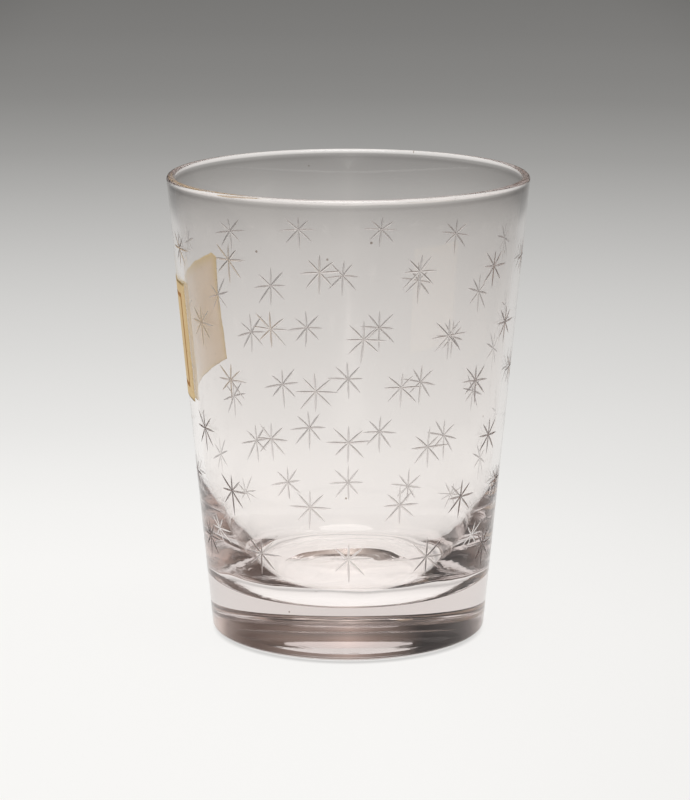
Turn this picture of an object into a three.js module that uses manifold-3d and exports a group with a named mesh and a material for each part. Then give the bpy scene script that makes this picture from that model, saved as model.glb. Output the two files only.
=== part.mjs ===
// A blown glass beaker with a heavy solid base and wheel-cut stars, and the old paper label on its side.
// Sizes are in millimetres. The beaker stands on z = 0 with its axis on +Z, and -Y is its front.

import * as THREE from 'three';
import { mergeVertices } from 'three/addons/utils/BufferGeometryUtils.js';
import Module from 'manifold-3d';

// Outer shape: a straight wall that leans outwards from the table to the rim.
const height = 95;
const rimRadius = 36.9;
const footRadius = 28.1;
const heelRadius = 4.2;

// Inside: an even wall that swells inwards to a flat floor over the solid base. The two roundness values say
// how far the curve keeps to the wall's line and to the floor's line before it turns into the other.
const wallThickness = 1.65;
const baseThickness = 10.2;
const swellHeight = 24.4;
const floorRadius = 17.3;
const wallRoundness = 0.31;
const floorRoundness = 0.55;

// Underneath: the shallow hollow where the pontil scar was polished away. It is flat in the middle, and the
// higher its squareness is, the closer to its edge it turns down.
const hollowRadius = 14;
const hollowDepth = 0.5;
const hollowSquareness = 4;

// The cut stars: rows that go round the wall, each set half a step on from the row below.
const firstRowHeight = 22.5;
const rowStep = 11.5;
const clearBelowRim = 12;
const starsPerRow = 12;
const raysPerStar = 8;
const rayLength = 4.1;
const rayWidth = 0.55;
const cutDepth = 0.45;
const rayUnevenness = 0.14;

// The stars were spaced by eye: the rows drift, and the front of the beaker has the wider gaps.
const frontBearing = -1.2;
const rowDrift = 0.8;
const frontStretch = 3;

// The label: a paper oblong pasted round the left side with its front edge upright. Its foot is cut askew,
// and its rear top corner is worn away.
const labelWidth = 32;
const labelHeight = 24.4;
const labelFootHeight = 50;
const labelFrontBearing = -71;
const labelSkew = 1.4;
const labelThickness = 0.2;
const labelGap = 0.3;
const wornCorner = 2.2;

// How finely the curved forms are stepped.
const stepsRound = 60;
const stepsDownSwell = 10;
const stepsAcrossHollow = 5;
const stepsAcrossLabel = 14;
const cleanTolerance = 0.02;

const degree = Math.PI / 180;
const wallLean = Math.atan((rimRadius - footRadius) / height);

// The radius of the outer wall line at a height, before the heel and the rim are rounded.
function wallRadius(z) {
  return footRadius + z * Math.tan(wallLean);
}

// The radius of the inner wall line at a height.
function insideRadius(z) {
  return wallRadius(z) - wallThickness / Math.cos(wallLean);
}

// A point on the wall, at a bearing in degrees from the front, positive towards +X.
function wallPoint(bearing, z, outwards = 0) {
  const radius = wallRadius(z) + outwards;
  return new THREE.Vector3(radius * Math.sin(bearing * degree), -radius * Math.cos(bearing * degree), z);
}

// Points of an arc in the profile plane, where x is the radius and y is the height.
function arcPoints(centreX, centreY, radius, fromAngle, toAngle, steps) {
  const points = [];
  for (let i = 0; i <= steps; i++) {
    const angle = fromAngle + ((toAngle - fromAngle) * i) / steps;
    points.push(new THREE.Vector2(centreX + radius * Math.cos(angle), centreY + radius * Math.sin(angle)));
  }
  return points;
}

// The shallow hollow, from the axis out to the ring that the beaker stands on.
function hollowPoints() {
  const points = [];
  for (let i = 0; i <= stepsAcrossHollow; i++) {
    const share = i / stepsAcrossHollow;
    points.push(new THREE.Vector2(hollowRadius * share, hollowDepth * (1 - share ** hollowSquareness)));
  }
  return points;
}

// The heel: an arc that touches both the table and the leaning wall.
function heelPoints() {
  const centre = footRadius - (heelRadius * (1 - Math.sin(wallLean))) / Math.cos(wallLean);
  return arcPoints(centre, heelRadius, heelRadius, -Math.PI / 2, -wallLean, 4);
}

// The rim: melted round, so it is half a circle as wide as the wall.
function rimPoints() {
  const half = wallThickness / 2;
  const z = height - half;
  const centre = wallRadius(z) - half / Math.cos(wallLean);
  return arcPoints(centre, z, half, -wallLean, Math.PI - wallLean, 6);
}

// The inside bottom: the wall line runs on downwards and turns into the flat floor.
function bottomPoints() {
  const top = new THREE.Vector2(insideRadius(baseThickness + swellHeight), baseThickness + swellHeight);
  const end = new THREE.Vector2(floorRadius, baseThickness);
  const down = swellHeight * wallRoundness;
  const across = (top.x - end.x) * floorRoundness;
  const curve = new THREE.CubicBezierCurve(
    top,
    new THREE.Vector2(top.x - down * Math.tan(wallLean), top.y - down),
    new THREE.Vector2(end.x + across, end.y),
    end,
  );
  return curve.getPoints(stepsDownSwell);
}

// Turns a mesh whose faces close up into a solid that can be cut.
function solidFrom(geometry, wasm) {
  const plain = geometry.clone();
  plain.deleteAttribute('normal');
  plain.deleteAttribute('uv');
  const merged = mergeVertices(plain, 1e-4);
  const mesh = new wasm.Mesh({
    numProp: 3,
    vertProperties: new Float32Array(merged.attributes.position.array),
    triVerts: new Uint32Array(merged.index.array),
  });
  return new wasm.Manifold(mesh);
}

// Gives the triangles of a solid back as a geometry.
function geometryFrom(solid) {
  const mesh = solid.getMesh();
  const geometry = new THREE.BufferGeometry();
  geometry.setAttribute('position', new THREE.BufferAttribute(new Float32Array(mesh.vertProperties), 3));
  geometry.setIndex(new THREE.BufferAttribute(new Uint32Array(mesh.triVerts), 1));
  return geometry;
}

// The plain blown form, turned about +Z.
function beakerBlank() {
  const profile = [
    ...hollowPoints(),
    ...heelPoints(),
    ...rimPoints(),
    ...bottomPoints(),
    new THREE.Vector2(0, baseThickness),
  ];
  const blank = new THREE.LatheGeometry(profile, stepsRound);
  blank.rotateX(Math.PI / 2);
  return blank;
}

// A repeatable number from -1 to 1 that stands for the unevenness of the cutter's hand.
function handWander(row, star, ray) {
  const wave = Math.sin(row * 12.99 + star * 78.23 + ray * 37.72) * 43758.5453;
  return 2 * (wave - Math.floor(wave)) - 1;
}

// The bearing of one star in its row.
function starBearing(row, star) {
  const step = 360 / starsPerRow;
  const stagger = row % 2 === 0 ? 0 : -step / 2;
  const even = frontBearing + row * rowDrift + stagger + star * step;
  return even + frontStretch * Math.sin(even * degree);
}

// One star as a cutting tool: its tips and notches lie on the wall and its middle points inwards.
function starCutter(row, star) {
  const centreZ = firstRowHeight + row * rowStep;
  const bearing = starBearing(row, star);
  const centre = wallPoint(bearing, centreZ);
  const outward = new THREE.Vector3(Math.sin(bearing * degree), -Math.cos(bearing * degree), 0);
  const outline = [];
  for (let ray = 0; ray < raysPerStar; ray++) {
    const turn = (2 * Math.PI * ray) / raysPerStar;
    const halfStep = Math.PI / raysPerStar;
    const length = rayLength * (1 + rayUnevenness * handWander(row, star, ray));
    const notch = rayWidth / 2 / Math.sin(halfStep);
    for (const [reach, angle] of [[length, turn], [notch, turn + halfStep]]) {
      const z = centreZ + reach * Math.cos(angle);
      const sideways = (reach * Math.sin(angle)) / wallRadius(z) / degree;
      outline.push(wallPoint(bearing + sideways, z));
    }
  }
  const bottom = centre.clone().addScaledVector(outward, -cutDepth);
  const top = centre.clone().addScaledVector(outward, cutDepth);
  const points = [...outline, bottom, top];
  const faces = [];
  const count = outline.length;
  for (let i = 0; i < count; i++) {
    const next = (i + 1) % count;
    faces.push(i, next, count, next, i, count + 1);
  }
  const cutter = new THREE.BufferGeometry().setFromPoints(points);
  cutter.setIndex(faces);
  return cutter;
}

// The number of star rows that fit between the base and the clear band below the rim.
function starRowCount() {
  return Math.max(0, Math.floor((height - clearBelowRim - firstRowHeight) / rowStep) + 1);
}

// The beaker: the blown form with every star cut into its outer face.
function beakerBody(wasm) {
  const cutters = [];
  for (let row = 0; row < starRowCount(); row++) {
    for (let star = 0; star < starsPerRow; star++) {
      cutters.push(solidFrom(starCutter(row, star), wasm));
    }
  }
  const blank = solidFrom(beakerBlank(), wasm);
  const cut = blank.subtract(wasm.Manifold.union(cutters));
  return geometryFrom(cut.asOriginal().simplify(cleanTolerance));
}

// How far up its flat sheet the label's foot and top lie, at a distance from its front edge.
function labelFoot(fromFront) {
  return (labelSkew * fromFront) / labelWidth;
}
function labelTop(fromFront) {
  return labelHeight - Math.max(0, wornCorner - (labelWidth - fromFront));
}

// Lays a point of the flat label on the wall. The wall is part of a cone, and a cone unrolls into a flat fan,
// so the point has the same distance from the cone's tip as it has in the fan.
function onWall(fromFront, up, outwards) {
  const footFromTip = wallRadius(labelFootHeight) / Math.sin(wallLean);
  const fromTip = Math.hypot(footFromTip + up, fromFront);
  const turn = Math.atan2(fromFront, footFromTip + up) / Math.sin(wallLean);
  const z = (fromTip * Math.sin(wallLean) - footRadius) / Math.tan(wallLean);
  return wallPoint(labelFrontBearing - turn / degree, z, outwards);
}

// The label: a thin sheet in upright strips, wrapped round the wall just clear of the glass.
function paperLabel() {
  const sheet = new THREE.BoxGeometry(labelWidth, labelHeight, labelThickness, stepsAcrossLabel, 1, 1);
  const position = sheet.attributes.position;
  for (let i = 0; i < position.count; i++) {
    const fromFront = labelWidth / 2 - position.getX(i);
    const up = position.getY(i) > 0 ? labelTop(fromFront) : labelFoot(fromFront);
    const point = onWall(fromFront, up, labelGap + labelThickness / 2 + position.getZ(i));
    position.setXYZ(i, point.x, point.y, point.z);
  }
  return sheet;
}

// Clear soda glass with a faint pink cast.
function glassMaterial() {
  return new THREE.MeshStandardMaterial({
    color: 0xece4e2,
    roughness: 0.05,
    metalness: 0,
    transparent: true,
    opacity: 0.45,
  });
}

// Old paper, browned by age and gum.
function paperMaterial() {
  return new THREE.MeshStandardMaterial({ color: 0xc8a36c, roughness: 0.85, metalness: 0 });
}

// Names a piece and gives it its finish.
function piece(name, geometry, material) {
  const mesh = new THREE.Mesh(geometry, material);
  mesh.name = name;
  return mesh;
}

const wasm = await Module();
wasm.setup();

const beaker = new THREE.Group();
beaker.add(piece('beaker_body', beakerBody(wasm), glassMaterial()));
beaker.add(piece('paper_label', paperLabel(), paperMaterial()));

export default beaker;
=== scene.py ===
# %% [markdown]
# # A cut glass beaker in Blender
#
# The real object is a small drinking beaker. It was blown from clear glass with a heavy solid base, a
# grinder cut rows of eight-pointed stars into its wall, and much later somebody pasted a paper label on it.
# Clear glass has no colour pattern to paint. All that the eye sees is what the glass bends and reflects, so
# most of this lesson goes into the exact shape of its surfaces and into what stands round it.

# %% Load the frame
import math

import bpy
from mathutils import Euler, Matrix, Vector, noise
from mathutils.geometry import delaunay_2d_cdt


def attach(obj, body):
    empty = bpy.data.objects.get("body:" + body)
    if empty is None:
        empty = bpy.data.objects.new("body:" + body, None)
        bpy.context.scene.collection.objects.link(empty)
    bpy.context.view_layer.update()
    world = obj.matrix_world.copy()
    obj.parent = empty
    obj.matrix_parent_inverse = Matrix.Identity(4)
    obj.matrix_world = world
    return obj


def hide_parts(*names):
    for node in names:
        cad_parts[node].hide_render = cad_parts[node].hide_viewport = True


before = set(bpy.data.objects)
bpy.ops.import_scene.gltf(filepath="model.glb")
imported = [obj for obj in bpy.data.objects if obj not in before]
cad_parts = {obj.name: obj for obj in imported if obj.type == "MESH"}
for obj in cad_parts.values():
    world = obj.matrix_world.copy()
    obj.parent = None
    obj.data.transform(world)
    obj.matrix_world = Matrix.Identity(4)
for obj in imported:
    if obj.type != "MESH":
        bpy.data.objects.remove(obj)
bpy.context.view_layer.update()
scene = bpy.context.scene
scene.view_settings.view_transform = "Standard"
MM = 0.001

# %% [markdown]
# ## The camera
#
# A camera could be aimed with a constraint, but a fixed place and turn are easier to check. A long lens
# from two thirds of a metre away, a little above the rim, keeps the rim an open ellipse and the sides
# nearly straight.

# %% Place the camera
CAMERA_PLACE = Vector((-0.66, -638, 188.45)) * MM
CAMERA_DIP = 12.416
CAMERA_LENS = 142.97
SENSOR_WIDTH = 36
NEAREST_SEEN = 10 * MM
camera_data = bpy.data.cameras.new("camera")
camera_data.sensor_width = SENSOR_WIDTH
camera_data.lens = CAMERA_LENS
camera_data.clip_start = NEAREST_SEEN
camera = bpy.data.objects.new("camera", camera_data)
scene.collection.objects.link(camera)
camera.location = CAMERA_PLACE
camera.rotation_euler = Euler((math.radians(90 - CAMERA_DIP), 0, 0))
scene.camera = camera
print("camera at", tuple(round(value, 4) for value in camera.location))

# %% [markdown]
# ## The profile of the glass
#
# A blown beaker is round, so one line, turned about the axis, gives its whole form. Blender's Screw or Spin
# could turn it, but here the mesh is built ring by ring, because the stars have to be let into the wall
# later. The line runs from the axis under the base, out over the heel, up the wall, over the melted rim,
# down the inside and back to the axis on the inside floor.
#
# Underneath, the scar of the blowing iron was polished away. That left a shallow round hollow inside the
# flat ring that the beaker stands on. It is hardly seen itself, but the glass bends the light at its edge,
# and that draws the dark arc in the inside floor.

# %% Sizes of the glass
HEIGHT = 95 * MM
RIM_RADIUS = 36.9 * MM
FOOT_RADIUS = 28.1 * MM
HEEL_WIDTH = 4.4 * MM
HEEL_HEIGHT = 1.5 * MM
WALL_THICKNESS = 1.65 * MM
WALL_THINNING = 0.14 * MM
RIM_SWELLING = 0.25 * MM
RIM_SWELLING_REACH = 9 * MM
BASE_THICKNESS = 10.2 * MM
SWELL_HEIGHT = 24.4 * MM
FLOOR_RADIUS = 17.3 * MM
WALL_ROUNDNESS = 0.31
FLOOR_ROUNDNESS = 0.55
HOLLOW_RADIUS = 15.2 * MM
HOLLOW_DEPTH = 1 * MM
HOLLOW_SQUARENESS = 2
HOLLOW_EDGE = 0.15 * MM
WALL_LEAN = math.atan((RIM_RADIUS - FOOT_RADIUS) / HEIGHT)


def wall_radius(z):
    return FOOT_RADIUS + z * math.tan(WALL_LEAN)


def thickness(z):
    """The wall thins a little upwards, and the melted rim has swollen it again just below the mouth."""
    swell_top = BASE_THICKNESS + SWELL_HEIGHT
    thinning = WALL_THINNING * (z - swell_top) / (HEIGHT - swell_top)
    swelling = RIM_SWELLING * max(0, 1 - (HEIGHT - z) / RIM_SWELLING_REACH) ** 2
    return WALL_THICKNESS - thinning + swelling


def inside_radius(z):
    return wall_radius(z) - thickness(z) / math.cos(WALL_LEAN)


def even_steps(start, end, count):
    """Numbers after start, up to and with end."""
    return [start + (end - start) * step / count for step in range(1, count + 1)]


print(f"wall leans {math.degrees(WALL_LEAN):.2f} degrees")

# %% Points of the profile
BAND_FOOT = 15 * MM
BAND_TOP = 88 * MM
BAND_STEPS = 64
HOLLOW_STEPS = 40
RING_STEPS = 8
HEEL_STEPS = 40
BELOW_BAND_STEPS = 14
ABOVE_BAND_STEPS = 8
RIM_STEPS = 24
INSIDE_WALL_STEPS = 80
SWELL_STEPS = 72
FLOOR_STEPS = 8


def underside_points():
    """The hollow, stepped more finely towards its edge, and the ring that the beaker stands on."""
    shares = [math.sin(turn) for turn in [0] + even_steps(0, math.pi / 2, HOLLOW_STEPS)]
    hollow = [(HOLLOW_RADIUS * s, HOLLOW_DEPTH * (1 - s**HOLLOW_SQUARENESS)) for s in shares]
    ring_start = HOLLOW_RADIUS + HOLLOW_EDGE
    ring = [ring_start] + even_steps(ring_start, FOOT_RADIUS - HEEL_WIDTH, RING_STEPS)
    return hollow + [(r, 0.0) for r in ring]


def heel_points():
    """A quarter of an ellipse, wider than high, that leans with the wall."""
    points = []
    for turn in even_steps(-math.pi / 2, 0, HEEL_STEPS):
        z = HEEL_HEIGHT * (1 + math.sin(turn))
        points.append((wall_radius(z) - HEEL_WIDTH * (1 - math.cos(turn)), z))
    return points


def outside_points():
    """Heel and wall, and how many points come before the foot of the band that holds the stars."""
    heel = heel_points()
    low = even_steps(heel[-1][1], BAND_FOOT, BELOW_BAND_STEPS)
    band = even_steps(BAND_FOOT, BAND_TOP, BAND_STEPS)
    rim_start = HEIGHT - thickness(HEIGHT) / 2 * (1 + math.sin(WALL_LEAN))
    high = even_steps(BAND_TOP, rim_start, ABOVE_BAND_STEPS)
    return heel + [(wall_radius(z), z) for z in low + band + high], len(heel) + len(low)


def rim_points():
    """Half a circle, as wide as the wall."""
    half = thickness(HEIGHT) / 2
    z = HEIGHT - half
    centre = wall_radius(z) - half / math.cos(WALL_LEAN)
    turns = even_steps(-WALL_LEAN, math.pi - WALL_LEAN, RIM_STEPS)
    return [(centre + half * math.cos(turn), z + half * math.sin(turn)) for turn in turns]


def inside_points():
    """The inner wall, the swell as one Bezier curve, and the flat floor."""
    swell_top = BASE_THICKNESS + SWELL_HEIGHT
    heights = even_steps(HEIGHT - thickness(HEIGHT) / 2, swell_top, INSIDE_WALL_STEPS)
    wall = [(inside_radius(z), z) for z in heights]
    start = Vector((inside_radius(swell_top), swell_top))
    end = Vector((FLOOR_RADIUS, BASE_THICKNESS))
    drop = SWELL_HEIGHT * WALL_ROUNDNESS
    start_handle = start - Vector((drop * math.tan(WALL_LEAN), drop))
    end_handle = end + Vector(((start.x - end.x) * FLOOR_ROUNDNESS, 0))
    swell = []
    for s in even_steps(0, 1, SWELL_STEPS):
        t = 1 - s
        point = start * t**3 + start_handle * 3 * t * t * s + end_handle * 3 * t * s * s + end * s**3
        swell.append(tuple(point))
    return wall + swell + [(r, BASE_THICKNESS) for r in even_steps(FLOOR_RADIUS, 0, FLOOR_STEPS)]


underside = underside_points()
outside, before_band = outside_points()
profile = underside + outside + rim_points() + inside_points()
band_start = len(underside) + before_band - 1
print(len(profile), "profile points, the band starts at point", band_start)

# %% [markdown]
# ## Normals that come from the form
#
# Glass shows every fault of its normals. Blender would average them from the faces, and near a star those
# faces are thin and uneven. So each corner on the turned surface gets the normal of the profile itself.

# %% Normals along the profile
def profile_normals(points):
    normals = []
    last = len(points) - 1
    for i in range(len(points)):
        total = Vector((0, 0))
        for a, b in ((i - 1, i), (i, i + 1)):
            if a >= 0 and b <= last:
                step = Vector((points[b][0] - points[a][0], points[b][1] - points[a][1]))
                if step.length > 0:
                    total += Vector((step.y, -step.x)).normalized()
        normals.append(total.normalized())
    return normals


along_normals = profile_normals(profile)
print("profile normals:", len(along_normals))

# %% [markdown]
# ## A mesh in the making
#
# The mesh is gathered in one small class: corners with their normals, and faces with a mark that says
# whether they belong to a cut. The mark becomes a face attribute, which the glass material reads later on.

# %% The class that gathers the mesh
COLUMNS = 360
ON_AXIS = 1e-9


def around(bearing, radius, z):
    """A point at a bearing in degrees from the front, positive towards +X."""
    angle = math.radians(bearing)
    return Vector((radius * math.sin(angle), -radius * math.cos(angle), z))


class Surface:
    def __init__(self):
        self.corners = []
        self.normals = []
        self.faces = []
        self.cut_marks = []
        self.grid = {}

    def add_corner(self, place, normal=None):
        self.corners.append(place)
        self.normals.append(normal)
        return len(self.corners) - 1

    def add_face(self, corners, is_cut=False):
        self.faces.append(tuple(corners))
        self.cut_marks.append(1.0 if is_cut else 0.0)

    def ring_corner(self, row, column):
        """The corner of the turned surface at a profile point and a column, made when first asked for."""
        radius, z = profile[row]
        key = (row, 0 if radius < ON_AXIS else column % COLUMNS)
        if key not in self.grid:
            bearing = key[1] * 360 / COLUMNS
            across, up = along_normals[row]
            self.grid[key] = self.add_corner(around(bearing, radius, z), around(bearing, across, up))
        return self.grid[key]

    def add_ring_face(self, row, column):
        """A face with four corners, or three on the axis, where two of them fall together."""
        steps = ((0, 0), (0, 1), (1, 1), (1, 0))
        corners = [self.ring_corner(row + up, column + across) for up, across in steps]
        self.add_face(dict.fromkeys(corners))

    def build(self, name):
        mesh = bpy.data.meshes.new(name)
        mesh.from_pydata(self.corners, [], self.faces)
        mesh.polygons.foreach_set("use_smooth", [True] * len(self.faces))
        marks = mesh.attributes.new("cut_mark", "FLOAT", "FACE")
        marks.data.foreach_set("value", self.cut_marks)
        corner_normals = []
        for face in mesh.polygons:
            for index in face.vertices:
                own = None if self.cut_marks[face.index] else self.normals[index]
                corner_normals.append(own or face.normal.copy())
        mesh.normals_split_custom_set(corner_normals)
        piece = bpy.data.objects.new(name, mesh)
        scene.collection.objects.link(piece)
        return piece


glass = Surface()
print("an empty surface with", COLUMNS, "columns to fill")

# %% [markdown]
# ## The shape of one star
#
# A star is eight strokes of a small copper wheel. Each stroke is a V-shaped groove that is narrow at the
# middle of the star, widest further out and pointed at its tip. A Boolean with a cutter would leave long
# splinters in the smooth wall. Instead the star's outline is let into the wall as an edge loop, and the
# groove faces are hung from it. The grinder worked by eye, so length and turn differ a little from stroke
# to stroke.

# %% Where the stars stand
# Row by row from the lowest: bearing from the front in degrees and height in millimetres. The fourth row
# lacks the star that lies wholly under the label, because the gum has filled it and it can't be seen.
STAR_PLACES = (
    (
        (-99, 22.9), (-68, 22.3), (-35, 22.0), (0, 22.2), (31, 21.7), (65, 21.0),
        (97, 21.8), (128, 22.5), (153, 23.0), (180, 23.1), (207, 23.9), (231, 23.4),
    ),
    (
        (-80, 34.6), (-48, 34.0), (-14, 32.9), (19, 33.2), (46, 33.0), (74, 33.5),
        (109, 33.3), (137, 35.3), (167, 34.4), (196, 35.4), (221, 34.0), (246, 33.5),
    ),
    (
        (-92, 44.6), (-63, 45.5), (-28, 46.4), (0, 46.5), (29, 44.7), (61, 44.3),
        (91, 45.2), (121, 46.3), (150, 45.9), (180, 45.6), (207, 45.2), (232, 44.6),
    ),
    (
        (-78, 57.0), (-44, 57.3), (-11, 56.8), (18, 57.4), (49, 56.8), (78, 56.6),
        (106, 56.9), (136, 56.5), (168, 56.8), (196, 56.9), (220, 57.2),
    ),
    (
        (-92, 67.9), (-58, 67.8), (-26, 68.9), (5, 67.4), (35, 67.0), (66, 67.1),
        (94, 67.1), (123, 67.2), (153, 67.5), (182, 67.8), (210, 66.5), (237, 66.5),
    ),
    (
        (-101, 79.9), (-71, 81.6), (-41, 81.9), (-9, 80.8), (23, 80.6), (54, 79.6),
        (80, 79.4), (106, 80.0), (138, 78.6), (168, 78.6), (198, 78.6), (227, 79.5),
    ),
)

# Steps through a field of noise, wide enough that neighbouring stars and strokes have nothing in common.
ROW_STEP = 7.31
STAR_STEP = 5.17
STROKE_STEP = 2.93
KIND_STEP = 3.7
LENGTH_KIND = 0
TURN_KIND = 1


def hand(row, star, stroke, kind):
    """A repeatable number from -1 to 1 for the unevenness of the grinder's hand."""
    place = Vector((row * ROW_STEP + kind * KIND_STEP, star * STAR_STEP + kind, stroke * STROKE_STEP))
    return noise.noise(place) * 2


print(len(STAR_PLACES), "rows of stars,", sum(len(row) for row in STAR_PLACES), "stars in all")

# %% Outline and grooves of one star
STROKES = 8
STROKE_LENGTHS = (4.6, 3.9, 3.7, 4.1, 3.9, 4.3, 4.6, 4.3)
STROKE_WIDTH = 0.46 * MM
MIDDLE_SHARE = 0.6
WIDEST_AT = 0.45
TIP_FULLNESS = 0.85
GROOVE_SLOPE = 0.6
STATIONS = (0.18, 0.34, 0.5, 0.66, 0.83)
LENGTH_WANDER = 0.15
TURN_WANDER = 4.5


def stroke_width(share):
    """Width of a groove at a share of its length: it swells from the middle, then runs out in a point."""
    if share < WIDEST_AT:
        rise = math.sin(share / WIDEST_AT * math.pi / 2)
        return STROKE_WIDTH * (MIDDLE_SHARE + (1 - MIDDLE_SHARE) * rise)
    return STROKE_WIDTH * math.cos((share - WIDEST_AT) / (1 - WIDEST_AT) * math.pi / 2) ** TIP_FULLNESS


def notch_reach():
    """How far from the middle of the star two neighbouring grooves meet."""
    return stroke_width(0) / 2 / math.sin(math.pi / STROKES)


def direction(angle):
    return Vector((math.cos(angle), math.sin(angle)))


def star_strokes(row, star):
    """Length and direction of each stroke, counterclockwise from the right, as seen from outside."""
    strokes = []
    for stroke in range(STROKES):
        wander = LENGTH_WANDER * hand(row, star, stroke, LENGTH_KIND)
        angle = 360 / STROKES * stroke + TURN_WANDER * hand(row, star, stroke, TURN_KIND)
        strokes.append((STROKE_LENGTHS[stroke] * MM * (1 + wander), math.radians(angle)))
    return strokes


def star_points(strokes):
    """The outline as flat points, and each groove's line of deepest points with their depths."""
    outline = []
    valleys = []
    for number, (length, angle) in enumerate(strokes):
        along = direction(angle)
        side = Vector((-along.y, along.x))
        right = [along * length * s - side * stroke_width(s) / 2 for s in STATIONS]
        left = [along * length * s + side * stroke_width(s) / 2 for s in STATIONS]
        next_angle = strokes[(number + 1) % STROKES][1] + (2 * math.pi if number == STROKES - 1 else 0)
        outline += right + [along * length] + left[::-1]
        outline.append(direction((angle + next_angle) / 2) * notch_reach())
        valleys.append([(along * length * s, GROOVE_SLOPE * stroke_width(s) / 2) for s in STATIONS])
    return outline, valleys


print("one star has", len(star_points(star_strokes(0, 0))[0]), "outline points")

# %% [markdown]
# ## Letting a star into the wall
#
# Round each star a stepped patch of the wall grid is left out. Constrained Delaunay triangulation then
# fills it between its border, which keeps the ring corners, and the star's outline. Because the border is
# shared, the surface stays closed, and because every wall corner carries the wall's own normal, the patch
# can't be seen.

# %% The patch round a star
CLEAR_OF_STROKE = 0.3 * MM
SAMPLES_PER_STROKE = 24
BAND_STEP = (BAND_TOP - BAND_FOOT) / BAND_STEPS


def patch_spans(bearing, z_middle, strokes, scale):
    """For each row of wall faces, the first and last face column that lie under the star."""
    spans = {}
    for length, angle in strokes:
        for point in (direction(angle) * reach for reach in even_steps(0, length, SAMPLES_PER_STROKE)):
            low = math.floor((bearing + (point.x - CLEAR_OF_STROKE) / scale) * COLUMNS / 360)
            high = math.floor((bearing + (point.x + CLEAR_OF_STROKE) / scale) * COLUMNS / 360)
            for clear in (-CLEAR_OF_STROKE, CLEAR_OF_STROKE):
                row = math.floor((z_middle + point.y + clear - BAND_FOOT) / BAND_STEP)
                old_low, old_high = spans.get(row, (low, high))
                spans[row] = (min(low, old_low), max(high, old_high))
    return spans


def patch_border(spans):
    """The grid corners round the patch, counterclockwise as seen from outside."""
    right = []
    left = []
    for row in sorted(spans):
        low, high = spans[row]
        right += [(row, high + 1), (row + 1, high + 1)]
        left += [(row, low), (row + 1, low)]
    turns = right + left[::-1]
    border = []
    for (row, column), (next_row, next_column) in zip(turns, turns[1:] + turns[:1]):
        if next_row != row:
            border.append((row, column))
        else:
            step = 1 if next_column > column else -1
            border += [(row, c) for c in range(column, next_column, step)]
    return border


def patch_inside(spans):
    """The grid corners inside the patch."""
    corners = []
    for row in sorted(spans)[1:]:
        low = max(spans[row - 1][0], spans[row][0])
        high = min(spans[row - 1][1], spans[row][1])
        corners += [(row, c) for c in range(low + 1, high + 1)]
    return corners


def distance_to_star(point, strokes):
    nearest = 1.0
    for length, angle in strokes:
        along = direction(angle)
        reach = min(max(point.dot(along), 0), length)
        nearest = min(nearest, (point - along * reach).length)
    return nearest - STROKE_WIDTH / 2


print(f"the band has steps of {BAND_STEP / MM:.2f} mm")

# %% Fill a patch with a star
MIDDLE_DEPTH_SHARE = 0.6
WHOLE_HULL = 0
SAME_POINT = 1e-6


def add_star(surface, row, star):
    """Adds one star and the wall round it, and returns the wall faces that it takes the place of."""
    bearing, z_middle = STAR_PLACES[row][star]
    z_middle *= MM
    scale = math.radians(1) * wall_radius(z_middle)
    strokes = star_strokes(row, star)
    outline, valleys = star_points(strokes)
    spans = patch_spans(bearing, z_middle, strokes, scale)

    def flat_place(corner):
        band_row, column = corner
        z = profile[band_start + band_row][1]
        return Vector(((column * 360 / COLUMNS - bearing) * scale, z - z_middle))

    def lay(point, depth=0.0):
        z = z_middle + point.y
        place = around(bearing + point.x / scale, wall_radius(z) - depth, z)
        normal = around(bearing + point.x / scale, math.cos(WALL_LEAN), -math.sin(WALL_LEAN))
        return surface.add_corner(place, normal)

    border = patch_border(spans)
    inside = [c for c in patch_inside(spans) if distance_to_star(flat_place(c), strokes) > CLEAR_OF_STROKE]
    grid = border + inside
    flat = [flat_place(corner) for corner in grid]
    loop = [lay(point) for point in outline]
    indexes = [surface.ring_corner(band_start + r, c) for r, c in grid] + loop
    border_face = list(range(len(border)))
    star_face = list(range(len(flat), len(flat) + len(outline)))
    in_millimetres = [point / MM for point in flat + outline]
    result = delaunay_2d_cdt(in_millimetres, [], [border_face, star_face], WHOLE_HULL, SAME_POINT, True)
    _, _, triangles, old_points, _, old_faces = result
    for triangle, within in zip(triangles, old_faces):
        if 0 in within and 1 not in within:
            surface.add_face(indexes[old_points[v][0]] for v in triangle)
    add_grooves(surface, loop, valleys, lay)
    columns = {(r, c) for r, (low, high) in spans.items() for c in range(low, high + 1)}
    return {(band_start + r, c % COLUMNS) for r, c in columns}


def add_grooves(surface, loop, valleys, lay):
    """Hangs the two sides of every groove between the outline and its line of deepest points."""
    count = len(STATIONS)
    per_stroke = 2 * count + 2
    middle = lay(Vector((0, 0)), MIDDLE_DEPTH_SHARE * GROOVE_SLOPE * notch_reach())
    for number, valley in enumerate(valleys):
        start = number * per_stroke
        right = loop[start : start + count]
        tip = loop[start + count]
        left = loop[start + count + 1 : start + 2 * count + 1][::-1]
        notch_before = loop[start - 1]
        notch_after = loop[start + per_stroke - 1]
        deep = [lay(point, depth) for point, depth in valley]
        surface.add_face((notch_before, right[0], deep[0], middle), True)
        surface.add_face((middle, deep[0], left[0], notch_after), True)
        for i in range(count - 1):
            surface.add_face((right[i], right[i + 1], deep[i + 1], deep[i]), True)
            surface.add_face((deep[i], deep[i + 1], left[i + 1], left[i]), True)
        surface.add_face((right[-1], tip, deep[-1]), True)
        surface.add_face((deep[-1], tip, left[-1]), True)


patched = set()
for row, places in enumerate(STAR_PLACES):
    for star in range(len(places)):
        patched |= add_star(glass, row, star)
print("stars let in,", len(glass.faces), "faces so far")

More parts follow.
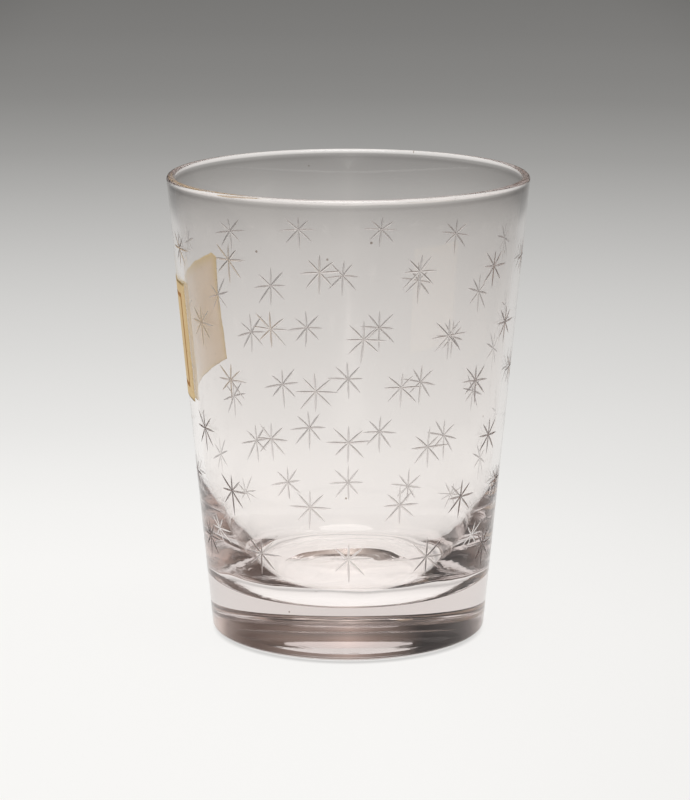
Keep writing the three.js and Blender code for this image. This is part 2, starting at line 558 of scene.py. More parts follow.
# %% Turn the rest of the profile
for row in range(len(profile) - 1):
    for column in range(COLUMNS):
        if (row, column) not in patched:
            glass.add_ring_face(row, column)

beaker = glass.build("beaker_glass")
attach(beaker, "root")
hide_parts("beaker_body")
print("the glass has", len(beaker.data.polygons), "faces")

# %% [markdown]
# ## Helpers for node trees
#
# Every material below is a small graph. Short helpers keep the code close to what one sees in the shader
# editor: one adds a node and fills its inputs, and the others stand for the nodes that are used most. An
# input takes a plain value or the output of another node.

# %% Helpers for nodes
def feed(tree, value, target):
    """Wires the output of a node to an input, or sets the input to a plain value."""
    if isinstance(value, bpy.types.NodeSocket):
        tree.links.new(value, target)
    else:
        target.default_value = value


def fill(tree, node, **inputs):
    """Feeds inputs by name, with an underscore for each space in the name."""
    for name, value in inputs.items():
        feed(tree, value, node.inputs[name.replace("_", " ")])


def add_node(tree, kind, settings=None, **inputs):
    node = tree.nodes.new(kind)
    for name, value in (settings or {}).items():
        setattr(node, name, value)
    fill(tree, node, **inputs)
    return node


def calculate(tree, operation, *values):
    node = add_node(tree, "ShaderNodeMath", {"operation": operation})
    for value, target in zip(values, node.inputs):
        feed(tree, value, target)
    return node.outputs["Value"]


def product(tree, first, *others):
    for factor in others:
        first = calculate(tree, "MULTIPLY", first, factor)
    return first


def vector_math(tree, operation, *vectors, output="Vector"):
    node = add_node(tree, "ShaderNodeVectorMath", {"operation": operation})
    for vector, target in zip(vectors, node.inputs):
        feed(tree, vector, target)
    return node.outputs[output]


def split_vector(tree, vector):
    return add_node(tree, "ShaderNodeSeparateXYZ", Vector=vector).outputs


def soft_step(tree, value, start, end, low=0, high=1):
    """Goes softly from low to high while the value goes from start to end."""
    step = add_node(tree, "ShaderNodeMapRange", {"interpolation_type": "SMOOTHSTEP"}, Value=value)
    fill(tree, step, From_Min=start, From_Max=end, To_Min=low, To_Max=high)
    return step.outputs["Result"]


def mixed(tree, factor, a, b):
    """A colour between a and b."""
    return add_node(tree, "ShaderNodeMix", {"data_type": "RGBA"}, Factor=factor, A=a, B=b).outputs["Result"]


def mixed_shaders(tree, factor, first, second):
    mix = add_node(tree, "ShaderNodeMixShader", Fac=factor)
    feed(tree, first, mix.inputs[1])
    feed(tree, second, mix.inputs[2])
    return mix.outputs["Shader"]


def ramp_colour(tree, value, stops):
    """A colour from a ramp with the given (position, colour) stops."""
    ramp = add_node(tree, "ShaderNodeValToRGB", Fac=value)
    elements = ramp.color_ramp.elements
    while len(elements) > 1:
        elements.remove(elements[-1])
    for number, (position, colour) in enumerate(stops):
        element = elements[0] if number == 0 else elements.new(position)
        element.position = position
        element.color = colour
    return ramp.outputs["Color"]


def new_material(name):
    material = bpy.data.materials.new(name)
    material.use_nodes = True
    tree = material.node_tree
    return material, tree, tree.nodes["Principled BSDF"]


def from_srgb(red, green, blue):
    """A colour as picked in a paint program, 0 to 255, turned into Blender's linear numbers."""
    linear = []
    for value in (red, green, blue):
        share = value / 255
        linear.append(share / 12.92 if share <= 0.04045 else ((share + 0.055) / 1.055) ** 2.4)
    return (*linear, 1.0)


print("helpers ready")

# %% [markdown]
# ## Effects that several finishes share
#
# Old things are cloudy, speckled and worn in rings. Each effect is a node group with named sockets, built
# once. The glass and the paper use the clouds and the specks at their own scales, and only the glass has
# the turned marks. A group puts out numbers, and the shader stays in the material.

# %% Group: cloudy variation
CLOUD_ROUGHNESS = 0.55


def start_group(name, output, **numbers):
    """A group with a Vector and numbers, given with their defaults, as inputs, and one number as output."""
    group = bpy.data.node_groups.new(name, "ShaderNodeTree")
    group.interface.new_socket(name="Vector", in_out="INPUT", socket_type="NodeSocketVector")
    for label, value in numbers.items():
        made = group.interface.new_socket(name=label, in_out="INPUT", socket_type="NodeSocketFloat")
        made.default_value = value
    group.interface.new_socket(name=output, in_out="OUTPUT", socket_type="NodeSocketFloat")
    given = group.nodes.new("NodeGroupInput").outputs
    result = group.nodes.new("NodeGroupOutput").inputs[output]
    return group, given, result


def use_group(tree, group, **inputs):
    return add_node(tree, "ShaderNodeGroup", {"node_tree": group}, **inputs).outputs[0]


def make_cloudy_group():
    """A soft uneven value from 0 to 1. Stretch above 1 draws it out sideways, round the object."""
    group, given, result = start_group("cloudy_variation", "Value", Scale=1.0, Stretch=1.0, Detail=3.0)
    stretch = add_node(group, "ShaderNodeCombineXYZ", X=1.0, Y=1.0, Z=given["Stretch"])
    place = vector_math(group, "MULTIPLY", given["Vector"], stretch.outputs["Vector"])
    cloud = add_node(group, "ShaderNodeTexNoise", Vector=place, Roughness=CLOUD_ROUGHNESS)
    fill(group, cloud, Scale=given["Scale"], Detail=given["Detail"])
    feed(group, cloud.outputs["Fac"], result)
    return group


cloudy_variation = make_cloudy_group()
print("group", cloudy_variation.name, "ready")

# %% Group: fine specks
def make_speck_group():
    """A mask of small scattered dots. Share is how large the dots are inside their cells."""
    group, given, result = start_group("fine_specks", "Mask", Scale=1.0, Share=0.1)
    cells = add_node(group, "ShaderNodeTexVoronoi", Vector=given["Vector"], Scale=given["Scale"])
    feed(group, calculate(group, "LESS_THAN", cells.outputs["Distance"], given["Share"]), result)
    return group


fine_specks = make_speck_group()
print("group", fine_specks.name, "ready")

# %% Group: turned marks
MARK_DETAIL = 3.0
MARK_ROUGHNESS = 0.6


def level_part(tree, place):
    """The part of a place that lies in the plane of the table."""
    return vector_math(tree, "MULTIPLY", place, (1, 1, 0))


def distance_from_axis(tree, place):
    return vector_math(tree, "LENGTH", level_part(tree, place), output="Value")


def make_turned_group():
    """Uneven rings round the axis, from 0 to 1. Wobble is how much they change on their way round."""
    group, given, result = start_group("turned_marks", "Value", Scale=1.0, Wobble=1.0)
    height = split_vector(group, given["Vector"])["Z"]
    outwards = calculate(group, "ADD", distance_from_axis(group, given["Vector"]), height)
    slow = add_node(group, "ShaderNodeVectorMath", {"operation": "SCALE"}, Scale=given["Wobble"])
    feed(group, vector_math(group, "NORMALIZE", level_part(group, given["Vector"])), slow.inputs[0])
    bearing = split_vector(group, slow.outputs["Vector"])
    place = add_node(group, "ShaderNodeCombineXYZ", Y=bearing["X"], Z=bearing["Y"])
    fill(group, place, X=product(group, outwards, given["Scale"]))
    marks = add_node(group, "ShaderNodeTexNoise", Vector=place.outputs["Vector"], Scale=1.0)
    fill(group, marks, Detail=MARK_DETAIL, Roughness=MARK_ROUGHNESS)
    feed(group, marks.outputs["Fac"], result)
    return group


turned_marks = make_turned_group()
print("group", turned_marks.name, "ready")

# %% [markdown]
# ## The glass
#
# Glass can be faked with transparency, but a beaker with a thick base needs real refraction: the Principled
# shader with full transmission, hardly any roughness and an index of refraction of 1.5. A little volume
# absorption gives the faint pink that grows with the thickness of the glass. Shadow rays pass straight
# through, because real glass lights its own shadow.
#
# The surface has its faults. The cut grooves are matt, as the wheel left them, and their darker tint is
# painted shade for the dark surroundings that they bend into view. The foot is scuffed from standing on
# tables. A few seeds, tiny bubbles in the glass, look like dark dots.

# %% Roughness and colour of the glass
CUT_ROUGHNESS = 0.5
WORN_ROUGHNESS = 0.12
WORN_UP_TO = 3.2 * MM
WORN_SCALE = 700
WORN_STRETCH = 3
SKIN_TINT = (1.0, 0.981, 0.97, 1)
# Painted shade: the cuts' darker tint stands in for the dark surroundings that the grooves bend into view.
CUT_PAINTED_SHADE = (0.82, 0.78, 0.76, 1)
SEED_COLOUR = (0.26, 0.2, 0.16, 1)
SEED_SCALE = 100
SEED_SHARE = 0.028


def glass_roughness(tree, place, cut):
    """Matt in the cuts, cloudy wear near the foot, and none elsewhere."""
    near_foot = soft_step(tree, split_vector(tree, place)["Z"], WORN_UP_TO, 0)
    scuffs = use_group(tree, cloudy_variation, Vector=place, Scale=WORN_SCALE, Stretch=WORN_STRETCH)
    worn = product(tree, near_foot, scuffs, WORN_ROUGHNESS)
    return calculate(tree, "MULTIPLY_ADD", cut, CUT_ROUGHNESS, worn)


def glass_colour(tree, place, cut):
    seeds = use_group(tree, fine_specks, Vector=place, Scale=SEED_SCALE, Share=SEED_SHARE)
    # The cuts take a darker tint as painted shade, and the seeds are dark dots.
    return mixed(tree, seeds, mixed(tree, cut, SKIN_TINT, CUT_PAINTED_SHADE), SEED_COLOUR)


print("seeds about", round(1 / SEED_SCALE / MM), "mm apart")

# %% [markdown]
# ## The waves in the glass
#
# Three kinds of waves are too low to be modelled, so a bump carries them. Slow swirls run round the whole
# wall. Soft lumps lie where the inside turns into its floor, and break up the dark areas beside it. Fine
# marks from the grinding of the foot run round underneath, stronger near the heel, and draw the dark band
# in the base out into streaks. The bump's distance is the height of a swirl, and the other two are so many
# times higher.

# %% Unevenness of the glass
SWIRL_HEIGHT = 0.006 * MM
SWIRL_SCALE = 60
SWIRL_STRETCH = 3
LUMPS_FROM = 17 * MM
LUMPS_TO = 28 * MM
LUMPS_FADE_IN = (LUMPS_TO - LUMPS_FROM) / 3
LUMPS_FADE_OUT = (LUMPS_TO - LUMPS_FROM) / 6
LUMPS_ABOVE = 6 * MM
LUMP_SCALE = 130
LUMP_STRETCH = 2
LUMP_WAVES = 30
TURNED_SCALE = 350
TURNED_WOBBLE = 1.5
TURNED_UP_TO = 1 * MM
TURNED_WAVES_INSIDE = 14
TURNED_WAVES_OUTSIDE = 36
TURNED_RISE_FROM = 18.5 * MM
TURNED_RISE_TO = 22 * MM


def lumps(tree, place, from_axis, height):
    """A cloudy value from 0 to 1 inside a ring round the inside floor, and 0 elsewhere."""
    cloud = use_group(tree, cloudy_variation, Vector=place, Scale=LUMP_SCALE, Stretch=LUMP_STRETCH, Detail=0)
    inner_edge = soft_step(tree, from_axis, LUMPS_FROM, LUMPS_FROM + LUMPS_FADE_IN)
    outer_edge = soft_step(tree, from_axis, LUMPS_TO, LUMPS_TO - LUMPS_FADE_OUT)
    above_foot = calculate(tree, "GREATER_THAN", height, LUMPS_ABOVE)
    return product(tree, cloud, inner_edge, outer_edge, above_foot)


def unevenness(tree, place):
    """The height for the bump, in swirls."""
    from_axis = distance_from_axis(tree, place)
    height = split_vector(tree, place)["Z"]
    swirls = use_group(tree, cloudy_variation, Vector=place, Scale=SWIRL_SCALE, Stretch=SWIRL_STRETCH)
    rings = use_group(tree, turned_marks, Vector=place, Scale=TURNED_SCALE, Wobble=TURNED_WOBBLE)
    turned = product(tree, soft_step(tree, height, TURNED_UP_TO, 0), rings)
    waves = (TURNED_WAVES_INSIDE, TURNED_WAVES_OUTSIDE)
    strength = soft_step(tree, from_axis, TURNED_RISE_FROM, TURNED_RISE_TO, *waves)
    with_marks = calculate(tree, "MULTIPLY_ADD", turned, strength, swirls)
    return calculate(tree, "MULTIPLY_ADD", lumps(tree, place, from_axis, height), LUMP_WAVES, with_marks)


print("swirls up to", SWIRL_HEIGHT / MM, "mm high")

# %% Material: clear glass with matt cuts
GLASS_IOR = 1.5
GLASS_TINT = (0.79, 0.725, 0.715, 1)
TINT_DENSITY = 20
SHADOW_PASS = (0.93, 0.92, 0.92, 1)


def make_glass():
    material, tree, shader = new_material("clear_cut_glass")
    place = add_node(tree, "ShaderNodeTexCoord").outputs["Object"]
    cut = add_node(tree, "ShaderNodeAttribute", {"attribute_name": "cut_mark"}).outputs["Fac"]
    bump = add_node(tree, "ShaderNodeBump", Distance=SWIRL_HEIGHT, Height=unevenness(tree, place))
    fill(tree, shader, Transmission_Weight=1, IOR=GLASS_IOR, Normal=bump.outputs["Normal"])
    fill(tree, shader, Base_Color=glass_colour(tree, place, cut))
    fill(tree, shader, Roughness=glass_roughness(tree, place, cut))
    path = add_node(tree, "ShaderNodeLightPath").outputs
    passing = calculate(tree, "MAXIMUM", path["Is Shadow Ray"], path["Is Diffuse Ray"])
    clear = add_node(tree, "ShaderNodeBsdfTransparent", Color=SHADOW_PASS)
    surface = mixed_shaders(tree, passing, shader.outputs["BSDF"], clear.outputs["BSDF"])
    inner = add_node(tree, "ShaderNodeVolumeAbsorption", Color=GLASS_TINT, Density=TINT_DENSITY)
    fill(tree, tree.nodes["Material Output"], Surface=surface, Volume=inner.outputs["Volume"])
    return material


beaker.data.materials.append(make_glass())
print("glass material on", beaker.name)

# %% [markdown]
# ## The paper label
#
# The label is a small oblong of paper, pasted round the wall with dried gum. The wall is part of a cone,
# and a cone unrolls into a flat fan, so the sheet is drawn flat and each point is laid on the wall at the
# same distance from the cone's tip. Its inner face is sunk a hair into the glass, as gum leaves no air
# between them. The front edge stands upright, the foot is cut askew, every edge is a little ragged, and the
# rear edge is worn back except for a small ear at its top.

# %% Sizes of the label
LABEL_WIDTH = 32 * MM
LABEL_HEIGHT = 24.4 * MM
LABEL_FOOT = 50 * MM
LABEL_FRONT_BEARING = -71
LABEL_SKEW = 1.4 * MM
PAPER_THICKNESS = 0.13 * MM
GUM_DEPTH = 0.02 * MM
WORN_CORNER = 0.9 * MM
CORNER_SLOPE = 0.8
EAR_WIDTH = 0.5 * MM
EAR_SHARE = 0.3
WORN_REAR = 1.1 * MM
LABEL_COLUMNS = 80
LABEL_ROWS = 60

# The edges stray in coarse and fine waves: how many there are to a millimetre, and how far they go.
EDGE_RAGGEDNESS = 0.16 * MM
COARSE_WAVES = 0.25
FINE_WAVES = 1.3
COARSE_SHARE = 1.4
FINE_SHARE = 0.7
COARSE_LAYER = 0
FINE_LAYER = 5
FRONT_EDGE, REAR_EDGE, FOOT_EDGE, TOP_EDGE = 1, 2, 3, 4


def on_wall(from_front, up, outwards):
    """Lays a point of the flat sheet on the wall."""
    foot_from_tip = wall_radius(LABEL_FOOT) / math.sin(WALL_LEAN)
    from_tip = math.hypot(foot_from_tip + up, from_front)
    turn = math.atan2(from_front, foot_from_tip + up) / math.sin(WALL_LEAN)
    z = (from_tip * math.sin(WALL_LEAN) - FOOT_RADIUS) / math.tan(WALL_LEAN)
    return around(LABEL_FRONT_BEARING - math.degrees(turn), wall_radius(z) + outwards, z)


def ragged(along, edge):
    """How far an edge of the old paper strays from a straight line."""
    coarse = noise.noise(Vector((along / MM * COARSE_WAVES, edge, COARSE_LAYER)))
    fine = noise.noise(Vector((along / MM * FINE_WAVES, edge, FINE_LAYER)))
    return EDGE_RAGGEDNESS * (COARSE_SHARE * coarse + FINE_SHARE * fine)


def label_point(share_along, share_up):
    """Flat place of a sheet corner, from its shares of the way to the rear and to the top."""
    up_line = LABEL_HEIGHT * share_up
    front = ragged(up_line, FRONT_EDGE)
    below_ear = min(1, (1 - share_up) / EAR_SHARE)
    rear = LABEL_WIDTH + EAR_WIDTH - WORN_REAR * below_ear + ragged(up_line, REAR_EDGE)
    from_front = front + (rear - front) * share_along
    foot = LABEL_SKEW * share_along + ragged(from_front, FOOT_EDGE)
    worn = max(0, WORN_CORNER - (LABEL_WIDTH - from_front) * CORNER_SLOPE)
    top = LABEL_HEIGHT + ragged(from_front, TOP_EDGE) - worn
    return from_front, foot + (top - foot) * share_up


print("label", LABEL_WIDTH / MM, "by", LABEL_HEIGHT / MM, "mm")

# %% [markdown]
# ## Building the sheet
#
# The sheet is the same grid twice, inside and outside, with a strip of faces round the border. A face
# attribute says which side is which, and a UV layer keeps each corner's flat place for the finish.

# %% Build the label
INNER_SIDE = 0.0
SHEET_EDGE = 0.5
OUTER_SIDE = 1.0


def sheet_corners():
    """Corners of both layers, and the flat place of each as shares of the sheet's width and height."""
    corners = []
    flat = []
    for outwards in (-GUM_DEPTH, PAPER_THICKNESS - GUM_DEPTH):
        for i in range(LABEL_COLUMNS + 1):
            for j in range(LABEL_ROWS + 1):
                from_front, up = label_point(i / LABEL_COLUMNS, j / LABEL_ROWS)
                corners.append(on_wall(from_front, up, outwards))
                flat.append((from_front / LABEL_WIDTH, up / LABEL_HEIGHT))
    return corners, flat


def sheet_faces():
    """Faces of both layers and of the strip round them, and the side that each belongs to."""
    faces = []
    sides = []
    stride = LABEL_ROWS + 1
    layer = stride * (LABEL_COLUMNS + 1)
    for i in range(LABEL_COLUMNS):
        for j in range(LABEL_ROWS):
            a = i * stride + j
            inner = (a, a + stride, a + stride + 1, a + 1)
            faces += [inner, tuple(index + layer for index in reversed(inner))]
            sides += [INNER_SIDE, OUTER_SIDE]
    border = [i * stride for i in range(LABEL_COLUMNS)]
    border += [LABEL_COLUMNS * stride + j for j in range(LABEL_ROWS)]
    border += [i * stride + LABEL_ROWS for i in range(LABEL_COLUMNS, 0, -1)]
    border += list(range(LABEL_ROWS, 0, -1))
    for here, there in zip(border, border[1:] + border[:1]):
        faces.append((here, here + layer, there + layer, there))
        sides.append(SHEET_EDGE)
    return faces, sides


def build_label():
    corners, flat = sheet_corners()
    faces, sides = sheet_faces()
    mesh = bpy.data.meshes.new("label_sheet")
    mesh.from_pydata(corners, [], faces)
    mesh.polygons.foreach_set("use_smooth", [side != SHEET_EDGE for side in sides])
    mesh.attributes.new("outer_side", "FLOAT", "FACE").data.foreach_set("value", sides)
    layout = mesh.uv_layers.new(name="flat_sheet")
    for loop in mesh.loops:
        layout.data[loop.index].uv = flat[loop.vertex_index]
    piece = bpy.data.objects.new("label_sheet", mesh)
    scene.collection.objects.link(piece)
    return piece


label = build_label()
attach(label, "root")
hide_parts("paper_label")
print("the label has", len(label.data.polygons), "faces")

# %% [markdown]
# ## The paper's finish
#
# Old paper is never one colour. The outside has browned and carries a plain ruled border, and it is darker
# along its foot and top. The inside is paler, partly in itself and partly as painted light for the light
# that shines through the thin paper, and it shows through the glass, with yellowed gum round its edge. Both
# sides get clouds of darker tone, fine fibre and a few age specks.

# %% Colours and widths of the paper's finish
OUTER_COLOUR = from_srgb(240, 216, 170)
OUTER_DARK = from_srgb(214, 178, 118)
# The inside colours are paler in part as painted light, for the light that shines through the thin paper.
INNER_LIT_THROUGH_COLOUR = from_srgb(244, 228, 206)
INNER_DARK_LIT_THROUGH = from_srgb(224, 200, 164)
BORDER_COLOUR = from_srgb(176, 118, 48)
FOOT_AND_TOP_DARK = from_srgb(132, 104, 58)
GUM_COLOUR = from_srgb(226, 202, 148)
SPECK_COLOUR = from_srgb(128, 88, 46)
PAPER_ROUGHNESS = 0.85
CLOUD_SCALE = 3
SPECK_SCALE = 14
SPECK_SHARE = 0.07
FIBRE_SCALE = 60
FIBRE_HEIGHT = 0.05 * MM
FIBRE_STRENGTH = 0.4

# Widths on the sheet, in millimetres.
BORDER_INSET = 2.9
BORDER_WIDTH = 0.9
FOOT_AND_TOP_DARK_WIDTH = 0.7
GUM_WIDTH = 2.6


def distance_from_sides(tree, share, size):
    """Distance in millimetres to the nearer of two sides, from a share of the way between them."""
    from_middle = calculate(tree, "ABSOLUTE", calculate(tree, "SUBTRACT", share, 0.5))
    return calculate(tree, "MULTIPLY_ADD", from_middle, -size, size / 2)


def ruled_border(tree, from_edge):
    """1 on the printed line and 0 elsewhere."""
    line_start = BORDER_INSET - BORDER_WIDTH / 2
    beyond_start = calculate(tree, "GREATER_THAN", from_edge, line_start)
    before_end = calculate(tree, "LESS_THAN", from_edge, line_start + BORDER_WIDTH)
    return product(tree, beyond_start, before_end)


print("border", BORDER_WIDTH, "mm wide")

# %% Material: old paper
def paper_colour(tree, flat, outer_side):
    cloud = use_group(tree, cloudy_variation, Vector=flat, Scale=CLOUD_SCALE)
    specks = use_group(tree, fine_specks, Vector=flat, Scale=SPECK_SCALE, Share=SPECK_SHARE)
    place = split_vector(tree, flat)
    from_ends = distance_from_sides(tree, place["X"], LABEL_WIDTH / MM)
    from_foot_or_top = distance_from_sides(tree, place["Y"], LABEL_HEIGHT / MM)
    from_edge = calculate(tree, "MINIMUM", from_ends, from_foot_or_top)
    outer = mixed(tree, cloud, OUTER_COLOUR, OUTER_DARK)
    outer = mixed(tree, ruled_border(tree, from_edge), outer, BORDER_COLOUR)
    # Darker along the foot and the top of the outer side.
    outer = mixed(tree, soft_step(tree, from_foot_or_top, FOOT_AND_TOP_DARK_WIDTH, 0), outer, FOOT_AND_TOP_DARK)
    # The inner side, lifted in part by painted light.
    inner = mixed(tree, cloud, INNER_LIT_THROUGH_COLOUR, INNER_DARK_LIT_THROUGH)
    inner = mixed(tree, soft_step(tree, from_edge, GUM_WIDTH, 0), inner, GUM_COLOUR)
    return mixed(tree, specks, mixed(tree, outer_side, inner, outer), SPECK_COLOUR)


def make_paper():
    material, tree, shader = new_material("old_label_paper")
    flat = add_node(tree, "ShaderNodeUVMap", {"uv_map": "flat_sheet"}).outputs["UV"]
    outer_side = add_node(tree, "ShaderNodeAttribute", {"attribute_name": "outer_side"}).outputs["Fac"]
    fibre = use_group(tree, cloudy_variation, Vector=flat, Scale=FIBRE_SCALE)
    bump = add_node(tree, "ShaderNodeBump", Strength=FIBRE_STRENGTH, Distance=FIBRE_HEIGHT, Height=fibre)
    fill(tree, shader, Base_Color=paper_colour(tree, flat, outer_side), Roughness=PAPER_ROUGHNESS)
    fill(tree, shader, Normal=bump.outputs["Normal"])
    return material


label.data.materials.append(make_paper())
print("paper material on", label.name)

# %% [markdown]
# ## The floor
#
# The beaker stands on a wide white sweep. It is bright near the object and in front of it, and falls off
# into grey behind. The falloff is painted into the floor by the distance from the object. The part of the
# floor that camera, mirror and glass rays see is mostly its own colour, and the rest is lit, so that the
# object keeps its shadow.
#
# Three more touches belong to the glass, and all are painted light and shade: a painted glow right below
# the base stands for the light that the thick base gathers there, a thin painted shadow marks where the heel
# rises, and painted shade makes the sweep darker far out on both sides, which gives the clear wall its grey
# edges.

# %% The floor's own light
FALLOFF_REACH = 2.0
FALLOFF_CENTRE = (-0.08, -0.04, 0)
# Distance in metres and the grey there, from 0 to 255.
FALLOFF = (
    (0.0, 249), (0.09, 248), (0.14, 244), (0.18, 239), (0.225, 232), (0.275, 226), (0.33, 219),
    (0.39, 212), (0.46, 203), (0.55, 190), (0.65, 175), (0.75, 160), (0.85, 149), (0.95, 139),
    (1.05, 134), (1.15, 131), (1.25, 127), (1.6, 119), (2.0, 112),
)
LESS_GREEN = 1
LESS_BLUE = 3
# Painted light: a glow on the floor below the base, for the light that the thick glass gathers there.
GLOW_INNER = 20 * MM
GLOW_OUTER = 28 * MM
PAINTED_GLOW_GAIN = 1.22
# Painted shadow: a thin dark ring on the floor where the heel rises, darkest at this radius.
CONTACT_RADIUS = 26.6 * MM
CONTACT_REACH = 1.9 * MM
CONTACT_PAINTED_SHADOW = 0.65
# Painted shade: the sweep darkens far out on both sides, between these distances, down to the share left
# over.
SIDES_START = 160 * MM
SIDES_END = 340 * MM
SIDES_PAINTED_SHADE = 0.62


def floor_colour(tree, place):
    """The falloff from white into grey, sideways and backwards but not forwards."""
    parts = split_vector(tree, place)
    backwards = calculate(tree, "MAXIMUM", parts["Y"], FALLOFF_CENTRE[1])
    counted = add_node(tree, "ShaderNodeCombineXYZ", X=parts["X"], Y=backwards).outputs["Vector"]
    distance = vector_math(tree, "DISTANCE", counted, FALLOFF_CENTRE, output="Value")
    stops = []
    for metres, grey in FALLOFF:
        stops.append((metres / FALLOFF_REACH, from_srgb(grey, grey - LESS_GREEN, grey - LESS_BLUE)))
    return ramp_colour(tree, calculate(tree, "DIVIDE", distance, FALLOFF_REACH), stops)


def floor_strength(tree, place):
    """Painted light and shade: above 1 under the base, below 1 at the heel and far out on both sides."""
    from_axis = vector_math(tree, "LENGTH", place, output="Value")
    glow = soft_step(tree, from_axis, GLOW_OUTER, GLOW_INNER, 1, PAINTED_GLOW_GAIN)
    # A painted contact shadow in a thin ring round the heel.
    from_line = calculate(tree, "ABSOLUTE", calculate(tree, "SUBTRACT", from_axis, CONTACT_RADIUS))
    painted_contact_shadow = soft_step(tree, from_line, 0, CONTACT_REACH, CONTACT_PAINTED_SHADOW, 1)
    # Painted shade far out on both sides of the floor.
    aside = calculate(tree, "ABSOLUTE", split_vector(tree, place)["X"])
    sides = soft_step(tree, aside, SIDES_START, SIDES_END, 1, SIDES_PAINTED_SHADE)
    return product(tree, painted_contact_shadow, sides, glow)


print("falloff in", len(FALLOFF), "stops over", FALLOFF_REACH, "m")

# %% Floor and its material
FLOOR_EXTENT = 30.0
FLOOR_DROP = 0.02 * MM
FLOOR_CORNER_STEP = 5
OWN_COLOUR_SHARE = 0.85


def seen_rays(tree):
    """1 for camera, mirror and glass rays, 0 for the light that the surroundings cast."""
    path = add_node(tree, "ShaderNodeLightPath").outputs
    camera_or_mirror = calculate(tree, "MAXIMUM", path["Is Camera Ray"], path["Is Glossy Ray"])
    return calculate(tree, "MAXIMUM", camera_or_mirror, path["Is Transmission Ray"])


def make_sweep():
    material, tree, shader = new_material("white_sweep")
    place = add_node(tree, "ShaderNodeTexCoord").outputs["Object"]
    colour = floor_colour(tree, place)
    fill(tree, shader, Base_Color=colour, Roughness=1.0, Specular_IOR_Level=0.0)
    own = add_node(tree, "ShaderNodeEmission", Color=colour, Strength=floor_strength(tree, place))
    share = product(tree, seen_rays(tree), OWN_COLOUR_SHARE)
    surface = mixed_shaders(tree, share, shader.outputs["BSDF"], own.outputs["Emission"])
    fill(tree, tree.nodes["Material Output"], Surface=surface)
    return material


def make_floor():
    mesh = bpy.data.meshes.new("floor")
    corners = [around(bearing, FLOOR_EXTENT, -FLOOR_DROP) for bearing in range(0, 360, FLOOR_CORNER_STEP)]
    mesh.from_pydata(corners, [], [tuple(range(len(corners)))])
    mesh.materials.append(make_sweep())
    floor = bpy.data.objects.new("floor", mesh)
    scene.collection.objects.link(floor)
    return floor


floor = make_floor()
print("floor", floor.dimensions[:])

# %% [markdown]
# ## The room
#
# Glass is drawn by its surroundings. The dark band in the thick base is a mirror image of a dark room, and
# without it the base would vanish. So the world shows glass rays a brown-grey room, while the light that it
# casts is plain and even. One ramp goes up from the horizon: grey, then a little lighter, brown and dark
# higher up, and bright again in a ring round the dark zenith. A second ramp shades the room from left to
# right: bright in the middle and at the far right, and dark and brown between.

# %% The world
# Height of the direction, from 0 on the horizon to 1 straight up, and the colour there.
ROOM = (
    (0.0, (118, 116, 112)), (0.15, (132, 122, 116)), (0.29, (156, 140, 132)),
    (0.42, (140, 122, 112)), (0.6, (100, 84, 75)), (0.78, (82, 67, 59)), (0.83, (222, 212, 205)),
    (0.965, (236, 228, 220)), (0.985, (80, 65, 57)), (1.0, (80, 65, 57)),
)
# How far the direction points to the right, from -1 to 1, and the light there.
ROOM_SIDES = (
    (-1.0, 0.48), (-0.9, 0.42), (-0.84, 0.2), (-0.76, 0.08), (-0.66, 0.04), (-0.5, 0.03),
    (-0.36, 0.03), (-0.12, 0.85), (0.0, 1.6), (0.12, 1.0), (0.2, 0.9), (0.5, 0.32), (0.6, 0.36),
    (0.76, 0.65), (0.86, 1.9), (1.0, 2.0),
)
BROWNING = (0, 0.3, 0.5)
PLAIN_LIGHT = (0.72, 0.72, 0.72, 1)


def shaded_sides(tree, across):
    """The light of the room's sides. The darker it is, the browner: green and blue fade before red does."""
    share = add_node(tree, "ShaderNodeMapRange", Value=across, From_Min=-1).outputs["Result"]
    stops = []
    for place, light in ROOM_SIDES:
        shade = [light * min(light, 1) ** power for power in BROWNING]
        stops.append(((place + 1) / 2, (*shade, 1)))
    return ramp_colour(tree, share, stops)


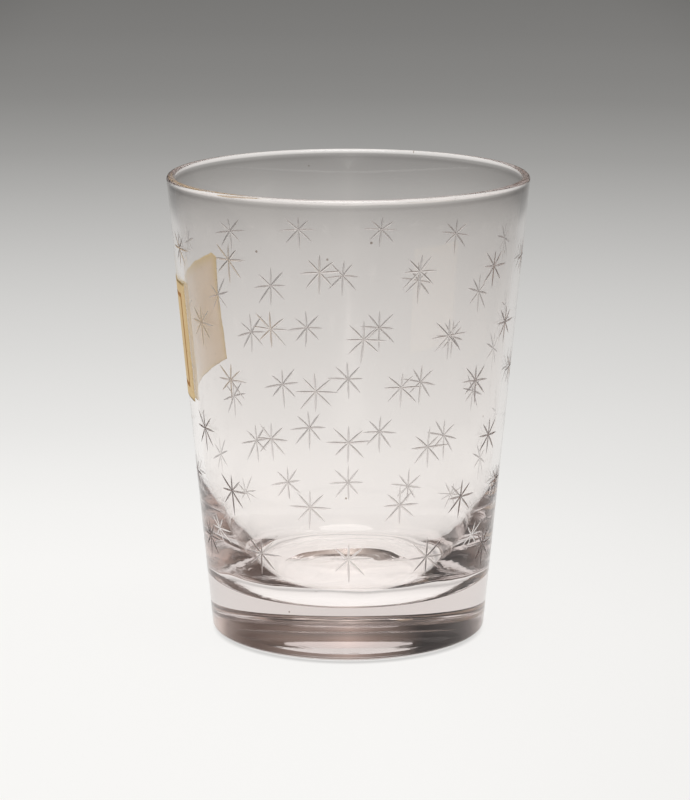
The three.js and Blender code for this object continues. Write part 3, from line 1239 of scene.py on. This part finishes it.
def make_world():
    world = bpy.data.worlds.new("room")
    scene.world = world
    world.use_nodes = True
    tree = world.node_tree
    towards = split_vector(tree, add_node(tree, "ShaderNodeTexCoord").outputs["Generated"])
    upright = ramp_colour(tree, towards["Z"], [(height, from_srgb(*colour)) for height, colour in ROOM])
    room = vector_math(tree, "MULTIPLY", upright, shaded_sides(tree, towards["X"]))
    fill(tree, tree.nodes["Background"], Color=mixed(tree, seen_rays(tree), PLAIN_LIGHT, room))


make_world()
print("world", scene.world.name)

# %% [markdown]
# ## The lights
#
# One large softbox above lights the scene. Rays inside the glass don't see it, or it would stand in the rim
# as a hard spot. A wide, dim lamp behind gives little light, but the base mirrors it as a pale lens-shaped
# patch. Both are round or oval, since a square lamp leaves square reflections.

# %% Place the lights
def add_softbox(name, place, width, height, radiance, seen_through_glass):
    """An oval area light that faces the middle of the beaker, equally bright at any size."""
    light = bpy.data.lights.new(name, "AREA")
    light.shape = "ELLIPSE"
    light.size = width
    light.size_y = height
    light.energy = radiance * math.pi * (math.pi / 4 * width * height)
    softbox = bpy.data.objects.new(name, light)
    scene.collection.objects.link(softbox)
    softbox.location = place
    towards = Vector((0, 0, HEIGHT / 2)) - softbox.location
    softbox.rotation_euler = towards.to_track_quat("-Z", "Y").to_euler()
    softbox.visible_camera = False
    softbox.visible_transmission = seen_through_glass
    return softbox


above = {"place": (0, -0.1, 1.1), "width": 0.68, "height": 0.68, "radiance": 2.8}
behind = {"place": (0, 1.05, 0.59), "width": 0.72, "height": 0.25, "radiance": 0.68}
add_softbox("softbox_above", **above, seen_through_glass=False)
add_softbox("lamp_behind", **behind, seen_through_glass=True)

# %% [markdown]
# ## Light paths
#
# A ray that enters the base may be mirrored a dozen times before it leaves. The default limits would cut it
# short and leave black patches, so the limits go up. Caustics stay off: they would only add noise.

# %% Set the light paths
scene.cycles.max_bounces = 96
scene.cycles.transmission_bounces = 64
scene.cycles.glossy_bounces = 64
scene.cycles.transparent_max_bounces = 32
scene.cycles.caustics_refractive = False
scene.cycles.caustics_reflective = False
print("bounces:", scene.cycles.max_bounces)
